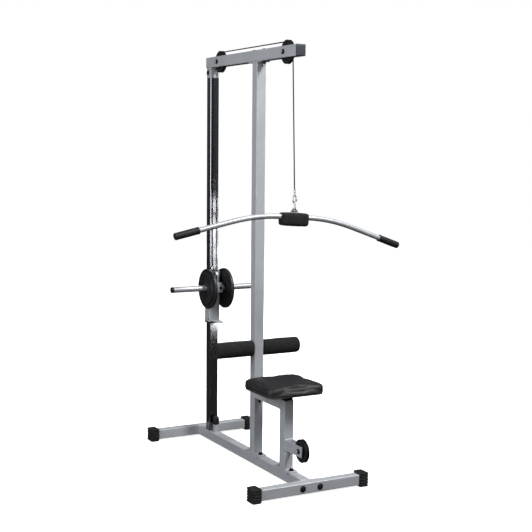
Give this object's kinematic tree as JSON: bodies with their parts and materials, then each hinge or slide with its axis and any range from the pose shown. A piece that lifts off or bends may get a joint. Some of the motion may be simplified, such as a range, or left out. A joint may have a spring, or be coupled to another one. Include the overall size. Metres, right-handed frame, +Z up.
{
  "type": "plate-loaded lat pulldown machine",
  "caption": "Free-standing lat pulldown: seat, thigh rollers and wide bent bar on a cable over a boom, lifting a plate-loaded carriage on a chrome post, with a low pulley.",
  "frame": {"origin": "on the floor, in the middle of the footprint", "axes": "+Z up; +X across the machine, to the right seen from the seat end; -Y is the seat end, +Y the weight carriage end"},
  "size_m": [1.2322, 1.285, 2.1495],
  "materials": {
    "silver_paint": "satin silver grey metallic paint",
    "chrome": "bright polished",
    "zinc": "bright zinc plating",
    "black_steel": "black oxide",
    "black_plastic": "moulded nylon",
    "slate_plastic": "moulded, dark slate",
    "rubber": "matt black",
    "foam": "soft closed-cell foam, matt",
    "vinyl": "black upholstery vinyl",
    "cable_coat": "black coat over wire rope",
    "cast_iron": "black enamel"
  },
  "bodies": {
    "frame": {"base_tube": "silver_paint", "boom": "silver_paint", "boom_bolt_front": "black_steel", "boom_bolt_rear": "black_steel", "boom_end_cap": "slate_plastic", "bumper": "rubber", "bumper_post": "silver_paint", "cable_top_run": "cable_coat", "end_cap_front_left": "rubber", "end_cap_front_right": "rubber", "end_cap_rear_left": "rubber", "end_cap_rear_right": "rubber", "front_joint_plate": "silver_paint", "front_pulley_axle": "black_steel", "front_stabilizer": "silver_paint", "front_stabilizer_bolt_left": "black_steel", "front_stabilizer_bolt_right": "black_steel", "guide_stub": "silver_paint", "guide_upright": "chrome", "low_pulley_axle": "black_steel", "low_pulley_bracket": "silver_paint", "main_upright": "silver_paint", "rear_pulley_axle": "black_steel", "rear_stabilizer": "silver_paint", "roller_rod": "zinc", "seat_bracket": "black_steel", "seat_leg": "silver_paint", "seat_leg_foot_bolt_front": "black_steel", "seat_leg_foot_bolt_rear": "black_steel", "seat_leg_foot_plate": "silver_paint", "seat_pad": "vinyl", "seat_tube": "silver_paint", "upright_foot_bolt_front": "black_steel", "upright_foot_bolt_rear": "black_steel", "upright_foot_plate": "silver_paint", "upright_top_plate": "silver_paint"},
    "low_wheel": {"low_pulley": "black_plastic"},
    "front_wheel": {"front_top_pulley": "black_plastic"},
    "rear_wheel": {"rear_top_pulley": "black_plastic"},
    "carriage": {"carriage_sleeve": "silver_paint", "bushing_bottom": "black_plastic", "bushing_top": "black_plastic", "bumper_tongue": "silver_paint", "cable_tab": "zinc", "cable_link": "zinc", "cable_rear_drop": "cable_coat", "rod_block": "silver_paint", "weight_rod": "chrome"},
    "left_plate": {"weight_plate_left": "cast_iron"},
    "right_plate": {"weight_plate_right": "cast_iron"},
    "left_roller": {"foam_roller_left": "foam"},
    "right_roller": {"foam_roller_right": "foam"},
    "hook": {"snap_hook": "zinc", "cable_front_drop": "cable_coat"},
    "swivel": {"swivel_link": "zinc"},
    "bar": {"lat_bar": "chrome", "hand_grip_left": "rubber", "hand_grip_right": "rubber", "bar_centre_block": "rubber", "bar_eyelet": "zinc"}
  },
  "joints": [
    {"name": "carriage_travel", "type": "slide", "parent": "frame", "child": "carriage", "axis": [0, 0, 1], "range_m": [-0.532, 0.55], "deforming": ["cable_rear_drop"]},
    {"name": "bar_travel", "type": "slide", "parent": "frame", "child": "hook", "axis": [0, 0, 1], "range_m": [-0.551, 0.533], "deforming": ["cable_front_drop"]},
    {"name": "front_pulley_spin", "type": "hinge", "parent": "frame", "child": "front_wheel", "pos_m": [0, -0.357, 2.092], "axis": [1, 0, 0], "range_deg": [-625, 646]},
    {"name": "rear_pulley_spin", "type": "hinge", "parent": "frame", "child": "rear_wheel", "pos_m": [0, 0.367, 2.092], "axis": [1, 0, 0], "range_deg": [-625, 646]},
    {"name": "low_pulley_spin", "type": "hinge", "parent": "frame", "child": "low_wheel", "pos_m": [0, -0.54, 0.191], "axis": [1, 0, 0], "continuous": true},
    {"name": "left_plate_slide", "type": "slide", "parent": "carriage", "child": "left_plate", "axis": [-1, 0, 0], "range_m": [-0.008, 0.2]},
    {"name": "right_plate_slide", "type": "slide", "parent": "carriage", "child": "right_plate", "axis": [1, 0, 0], "range_m": [-0.008, 0.2]},
    {"name": "left_roller_spin", "type": "hinge", "parent": "frame", "child": "left_roller", "pos_m": [-0.1335, -0.067, 0.616], "axis": [1, 0, 0], "continuous": true},
    {"name": "right_roller_spin", "type": "hinge", "parent": "frame", "child": "right_roller", "pos_m": [0.1335, -0.067, 0.616], "axis": [1, 0, 0], "continuous": true},
    {"name": "bar_swivel", "type": "hinge", "parent": "hook", "child": "swivel", "pos_m": [0, -0.43698, 1.3827], "axis": [0, 0, 1], "range_deg": [-30, 30]},
    {"name": "bar_tilt", "type": "hinge", "parent": "swivel", "child": "bar", "pos_m": [0, -0.43698, 1.3427], "axis": [0, 1, 0], "range_deg": [-12, 5]}
  ],
  "couplings": [
    {"joint": "bar_travel", "follows": "carriage_travel", "ratio": -1},
    {"joint": "front_pulley_spin", "follows": "carriage_travel", "rad_per_m": 20.408},
    {"joint": "rear_pulley_spin", "follows": "carriage_travel", "rad_per_m": 20.408}
  ]
}
